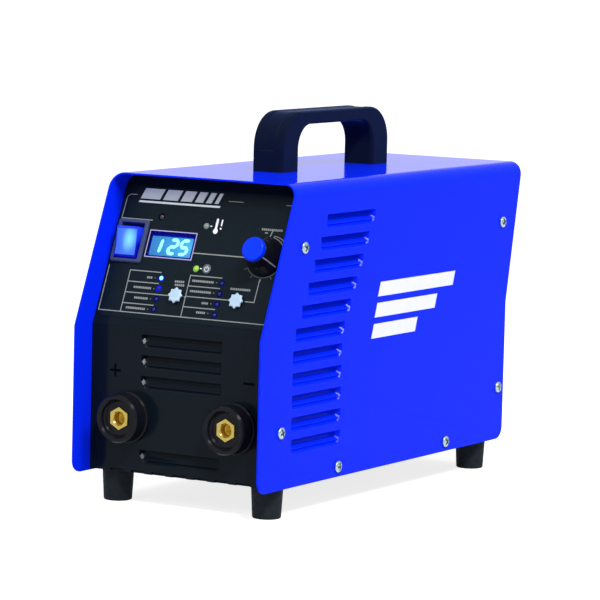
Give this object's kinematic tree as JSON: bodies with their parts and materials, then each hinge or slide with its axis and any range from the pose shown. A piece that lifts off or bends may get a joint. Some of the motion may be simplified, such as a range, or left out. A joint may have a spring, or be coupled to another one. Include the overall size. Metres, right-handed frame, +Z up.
{
  "type": "inverter welding power source",
  "caption": "Portable inverter welder: blue sheet-metal case with louvres, carry handle, leaning control panel with knob, rocker and display, and two current sockets.",
  "frame": {"origin": "centre of the rectangle that the whole object fills on the floor, at the floor", "axes": "+Z up, +Y from the control panel to the rear panel, +X to the right of someone facing the panel"},
  "size_m": [0.1548, 0.365, 0.268],
  "materials": {
    "blue_enamel": "glossy blue powder coat",
    "black_enamel": "satin black powder coat",
    "zinc_sheet": "zinc-plated sheet",
    "black_moulding": "satin moulded plastic",
    "foot_rubber": "matt moulded rubber",
    "zinc_screw": "zinc-plated steel",
    "brass": "machined brass",
    "label_film": "printed film, fine texture",
    "rocker_blue": "translucent, lit from inside",
    "knob_blue": "smooth moulded plastic",
    "display_blue": "clear tinted window",
    "display_body": "backlit display module",
    "button_grey": "light grey moulding",
    "lamp_green": "lit green lamp",
    "lamp_amber": "unlit cloudy lamp",
    "lamp_cyan": "lit cyan lamp",
    "lamp_dark_blue": "unlit blue lamp",
    "board_green": "solder-masked glass-fibre board",
    "nylon_white": "nylon",
    "aluminium": "extruded, plain",
    "ferrite": "ferrite core",
    "copper_wire": "enamelled copper",
    "device_epoxy": "moulded epoxy",
    "capacitor_sleeve": "shrunk sleeve",
    "lead_sheath": "flexible sheath"
  },
  "bodies": {
    "case": {"base_tray": "black_enamel", "board_pillars": "nylon_white", "board_standoffs": "nylon_white", "bridge_rectifier": "device_epoxy", "busbar_negative": "copper_wire", "busbar_positive": "copper_wire", "button_switches": "device_epoxy", "capacitors": "capacitor_sleeve", "choke_core": "ferrite", "choke_winding": "copper_wire", "control_board": "board_green", "control_label": "label_film", "cover": "blue_enamel", "cover_screws": "zinc_screw", "display_module": "display_body", "display_window": "display_blue", "fan_frame": "black_moulding", "fan_screws": "zinc_screw", "foot_front_left": "foot_rubber", "foot_front_right": "foot_rubber", "foot_rear_left": "foot_rubber", "foot_rear_right": "foot_rubber", "foot_screws": "zinc_screw", "front_panel": "black_enamel", "gland_body": "black_moulding", "gland_locknut": "black_moulding", "gland_nut": "black_moulding", "gland_seal": "foot_rubber", "handle": "black_moulding", "handle_screws": "zinc_screw", "heatsink_left": "aluminium", "heatsink_right": "aluminium", "lamp_dark": "lamp_dark_blue", "lamp_status_lit": "lamp_cyan", "lamp_supply": "lamp_green", "lamp_thermal": "lamp_amber", "lamps_status": "lamp_dark_blue", "mains_lead": "lead_sheath", "output_diodes": "device_epoxy", "potentiometer_body": "zinc_sheet", "potentiometer_nut": "zinc_screw", "power_board": "board_green", "power_switch_housing": "black_moulding", "power_switch_terminals": "brass", "power_transistors": "device_epoxy", "rear_panel": "black_enamel", "socket_negative_body": "black_moulding", "socket_negative_insert": "brass", "socket_nuts": "black_moulding", "socket_positive_body": "black_moulding", "socket_positive_insert": "brass", "transformer_core": "ferrite", "transformer_winding": "copper_wire"},
    "rocker": {"power_switch_rocker": "rocker_blue"},
    "knob": {"knob_skirt": "black_moulding", "knob_cap": "knob_blue", "potentiometer_shaft": "zinc_screw"},
    "mode_key": {"mode_button": "button_grey"},
    "function_key": {"function_button": "button_grey"},
    "rotor": {"fan_rotor": "black_moulding"}
  },
  "joints": [
    {"name": "power_rocker", "type": "hinge", "parent": "case", "child": "rocker", "pos_m": [-0.0588, -0.1355, 0.17729], "axis": [-1, 0, 0], "range_deg": [0, 24]},
    {"name": "current_knob", "type": "hinge", "parent": "case", "child": "knob", "pos_m": [0.0513, -0.14054, 0.1756], "axis": [0, -0.9228, 0.3853], "range_deg": [-19, 251]},
    {"name": "mode_press", "type": "slide", "parent": "case", "child": "mode_key", "axis": [0, 0.9228, -0.3853], "range_m": [0, 0.0008], "stiffness_N_per_m": 1500, "springref_m": -0.0002},
    {"name": "function_press", "type": "slide", "parent": "case", "child": "function_key", "axis": [0, 0.9228, -0.3853], "range_m": [0, 0.0008], "stiffness_N_per_m": 1500, "springref_m": -0.0002},
    {"name": "fan_spin", "type": "hinge", "parent": "case", "child": "rotor", "pos_m": [0, 0.1468, 0.144], "axis": [0, 1, 0], "continuous": true}
  ]
}
